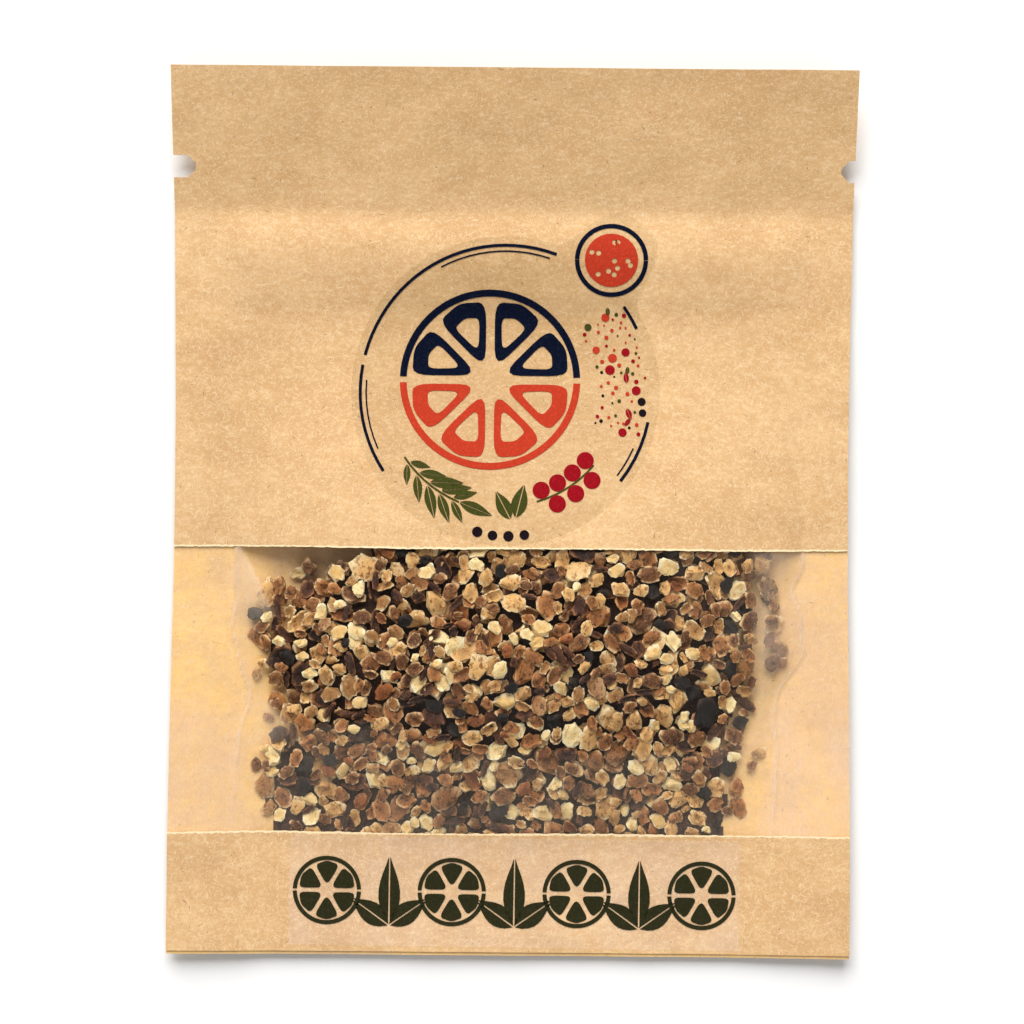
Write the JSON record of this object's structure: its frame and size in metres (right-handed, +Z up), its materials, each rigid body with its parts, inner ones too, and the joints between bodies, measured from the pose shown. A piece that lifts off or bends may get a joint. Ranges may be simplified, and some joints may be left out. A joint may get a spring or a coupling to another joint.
{
  "type": "pouch of dried orange peel",
  "caption": "Flat kraft paper pouch with tear notches, a press-to-close strip and a clear window band, filled with dried, cut orange peel.",
  "frame": {"origin": "on the table, under the middle of the pouch's bounding box", "axes": "+X across the pouch, +Y from the foot seal to the header, +Z up; the pouch lies on its back with the window up"},
  "size_m": [0.1, 0.1294, 0.0092],
  "materials": {
    "kraft_paper": "uncoated brown kraft, matt, with fine fibres and specks",
    "clear_film": "thin clear film, glossy with a faint milky haze",
    "dried_peel": "dried, cut orange peel, brown to cream, dry and matt",
    "clear_sticker": "clear printed sticker, satin"
  },
  "bodies": {
    "root": {"back_panel": "kraft_paper", "front_upper_panel": "kraft_paper", "front_lower_panel": "kraft_paper", "window_film": "clear_film", "peel_fill": "dried_peel", "round_sticker": "clear_sticker", "foot_label": "clear_sticker"}
  },
  "joints": []
}
